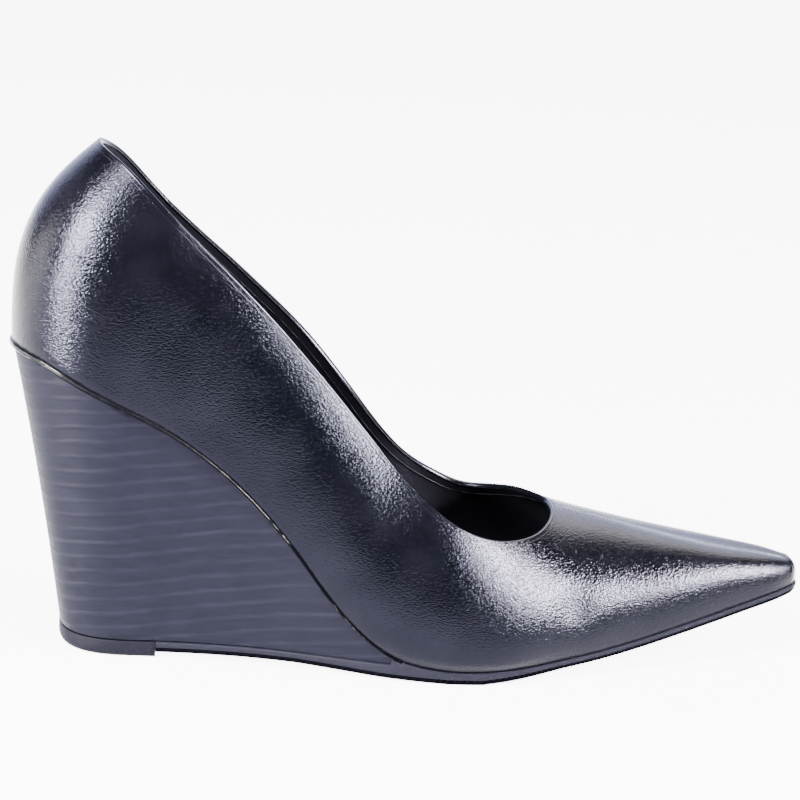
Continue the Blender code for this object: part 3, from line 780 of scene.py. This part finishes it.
# Plan of the sole: the wedge's foot behind the ball, going over in an eased step to the feather edge.
def soleLoop(grow):
    paths = []
    for side in sides:
        plan = featherSide(side, grow)
        plan = plan[plan[:, 0] >= sole["start"]]
        plan = np.concatenate([[[sole["start"], plan[0, 1]]], plan])
        rear = side * (footHalf(side, plan[:, 0]) + grow)
        t = eased((toAt(plan[:, 0]) - sole["spreadFrom"]) / sole["spreadRun"])
        plan[:, 1] = rear + (plan[:, 1] - rear) * t
        paths.append(plan)
    return closeLoop(paths, sole["points"])


# Levels of the sole. The lower ones carry teeth ahead of the ball: an eased triangle wave that moves the side
# inward and up.
def soleLevels():
    run = pathRun(soleLoop(0))[-1]
    teeth = run / sole["toothPitch"] * np.arange(sole["points"]) / sole["points"]
    tooth = eased(np.abs(teeth % 1 * 2 - 1))
    made = []
    for grow, below in sole["topRows"]:
        loop = soleLoop(grow)
        top, under = soleTop(loop[:, 0]), soleUnder(loop[:, 0])
        made.append(np.column_stack([loop, top - np.minimum(below, (top - under) * sole["topShare"])]))
    for grow, above, toothed in sole["lowRows"]:
        loop = soleLoop(grow)
        top, under = soleTop(loop[:, 0]), soleUnder(loop[:, 0])
        ahead = np.clip((toAt(loop[:, 0]) - sole["teethFrom"]) / sole["teethRun"], 0, 1)
        cut = toothed * tooth * sole["toothDeep"] * ahead
        squeezed = (top - under) * sole["lowShare"] * above / sole["lowRows"][0][1]
        middle = (loop[:, 1] + loop[::-1, 1]) / 2
        loop[:, 1] -= np.sign(loop[:, 1] - middle) * cut
        made.append(np.column_stack([loop, under + np.minimum(above, squeezed) + cut]))
    return made


outsole = loopSolid("sole", soleLevels(), mottled("soleSide", sole["look"]), "outsole", 50)
outsole.data.materials.append(mottled("tread", sole["treadLook"]).material)
centres = np.empty(len(outsole.data.polygons) * 3)
outsole.data.polygons.foreach_get("center", centres)
centres = centres.reshape(-1, 3)
low = centres[:, 2] - soleUnder(centres[:, 0]) < sole["tread"]
outsole.data.polygons.foreach_set("material_index", low.astype(np.int32))
print("stage: outsole")

# Heel lift.
lift = {
    "length": 0.0268, "thick": 0.0047, "ribs": 96, "ribDeep": 0.00010, "points": 1200,
    # outward, share of the thickness, ribbed or not
    "levels": ((-0.0005, 1.0, 0), (-0.00005, 1.0, 0), (0.0, 0.96, 0), (0.0, 0.34, 0), (0.0, 0.30, 1),
               (-0.0001, 0.22, 1), (-0.0004, 0.10, 1), (-0.0009, 0.03, 1), (-0.0014, 0.0, 0)),
    "look": {
        "dark": (0.0011, 0.0011, 0.0024, 1), "light": (0.0016, 0.0017, 0.0034, 1), "mottle": 600,
        "rough": 0.58, "shine": 0.03, "grain": 1500, "grainDeep": 0.00005,
    },
}
liftEnd = foot["back"] - last["backToOrigin"] + lift["length"]
ribWave = np.abs(np.arange(lift["points"]) / lift["points"] * lift["ribs"] % 1 * 2 - 1)
levels = []
for grow, share, ribbed in lift["levels"]:
    loop = footLoop(lift["points"], grow, liftEnd)
    loop[:, 1] -= np.sign(loop[:, 1]) * ribWave * lift["ribDeep"] * ribbed
    levels.append(np.column_stack([loop, np.full(len(loop), lift["thick"] * share)]))
loopSolid("liftBlock", levels, mottled("lift", lift["look"]), "heel_lift", 40)
print("stage: lift")

# Stage and lights. A light has its place, what it looks at, its width and height, its power and, where it is
# narrow, its spread in degrees.
stage = {
    "paper": (0.12, 0.12, 0.125, 1), "front": -0.26, "wide": 5, "back": 6, "tall": 4,
    "floorGlow": 8.0, "floorTint": (0.97, 0.975, 1, 1), "backGlow": 4.0, "backTint": (0.62, 0.66, 1, 1),
    "roomColor": (0.5, 0.55, 0.75, 1), "roomGlow": 0.30, "lampColor": (1, 0.95, 0.88),
}
lights = {
    "toeSide": {"spot": (1.076, -0.357, 0.619), "target": (0.15, -0.02, 0.027), "size": (0.42, 0.27), "power": 300},
    "quarterSide": {"spot": (0.836, -0.682, 0.487), "target": (0.055, -0.026, 0.075), "size": (0.50, 0.34),
                    "power": 2.3, "spread": 10},
    "counterHigh": {"spot": (-0.76, -0.55, 0.52), "target": (-0.013, -0.022, 0.12), "size": (0.40, 0.34),
                    "power": 290},
    "counterLow": {"spot": (-0.62, -0.37, 0.034), "target": (-0.017, -0.023, 0.105), "size": (0.14, 0.06),
                   "power": 2.6, "spread": 40},
    "counterBack": {"spot": (-0.80, 0.14, 0.20), "target": (-0.024, -0.015, 0.11), "size": (0.12, 0.30),
                    "power": 8},
    "overBack": {"spot": (0.5, 0.9, 0.95), "target": (0.12, 0, 0.04), "size": (0.9, 0.6), "power": 20},
    "insideFill": {"spot": (-0.40, -0.35, 1.0), "target": (0.09, 0, 0.04), "size": (0.45, 0.45), "power": 70},
}


# Flat sheet of the stage that also gives off light.
def plane(name, corners, glow, tint):
    look = Look(name + "Paper", 0.95, 0.0)
    look.set("Base Color", look.blend(look.noise(3, 1), stage["paper"], stage["paper"]))
    look.set("Emission Color", tint)
    look.set("Emission Strength", glow)
    mesh = bpy.data.meshes.new(name)
    mesh.from_pydata(corners, [], [(0, 1, 2, 3)])
    mesh.materials.append(look.material)
    item = bpy.data.objects.new(name, mesh)
    bpy.context.scene.collection.objects.link(item)
    return item


# Placing matrix at spot: looks away from back with its right side level, then turned by roll.
def aim(spot, back, roll=0.0):
    back = unit(np.array(back))
    right = unit(np.cross([0, 0, 1], back))
    up = np.cross(back, right)
    columns = [math.cos(roll) * right + math.sin(roll) * up, math.cos(roll) * up - math.sin(roll) * right, back, spot]
    return Matrix(np.stack(columns, 1).tolist() + [[0, 0, 0, 1]])


wide, far = stage["wide"], stage["back"]
plane("floor", [(-wide, stage["front"], 0), (wide, stage["front"], 0), (wide, far, 0), (-wide, far, 0)],
      stage["floorGlow"], stage["floorTint"])
plane("backdrop", [(-wide, far, 0), (wide, far, 0), (wide, far, stage["tall"]), (-wide, far, stage["tall"])],
      stage["backGlow"], stage["backTint"])
for name, values in lights.items():
    lamp = bpy.data.lights.new(name, "AREA")
    lamp.shape = "RECTANGLE"
    lamp.size, lamp.size_y = values["size"]
    lamp.energy = values["power"]
    lamp.spread = math.radians(values.get("spread", 180))
    lamp.color = stage["lampColor"]
    item = bpy.data.objects.new(name, lamp)
    item.matrix_world = aim(values["spot"], np.subtract(values["spot"], values["target"]))
    bpy.context.scene.collection.objects.link(item)
world = bpy.data.worlds.new("room")
world.use_nodes = True
world.node_tree.nodes["Background"].inputs["Color"].default_value = stage["roomColor"]
world.node_tree.nodes["Background"].inputs["Strength"].default_value = stage["roomGlow"]
bpy.context.scene.world = world
print("stage: lights")

# Camera.
view = {"target": (0.0795, 0, 0.072), "distance": 0.7, "yaw": math.radians(-8.83), "pitch": math.radians(13.99),
        "roll": math.radians(4.505), "lens": 109.94, "sensor": 36}
cameraData = bpy.data.cameras.new("camera")
cameraData.sensor_width = view["sensor"]
cameraData.lens = view["lens"]
camera = bpy.data.objects.new("camera", cameraData)
yaw, pitch = view["yaw"], view["pitch"]
back = np.array([math.sin(yaw) * math.cos(pitch), -math.cos(yaw) * math.cos(pitch), math.sin(pitch)])
camera.matrix_world = aim(np.array(view["target"]) + back * view["distance"], back, view["roll"])
bpy.context.scene.collection.objects.link(camera)
bpy.context.scene.camera = camera
print("stage: camera")
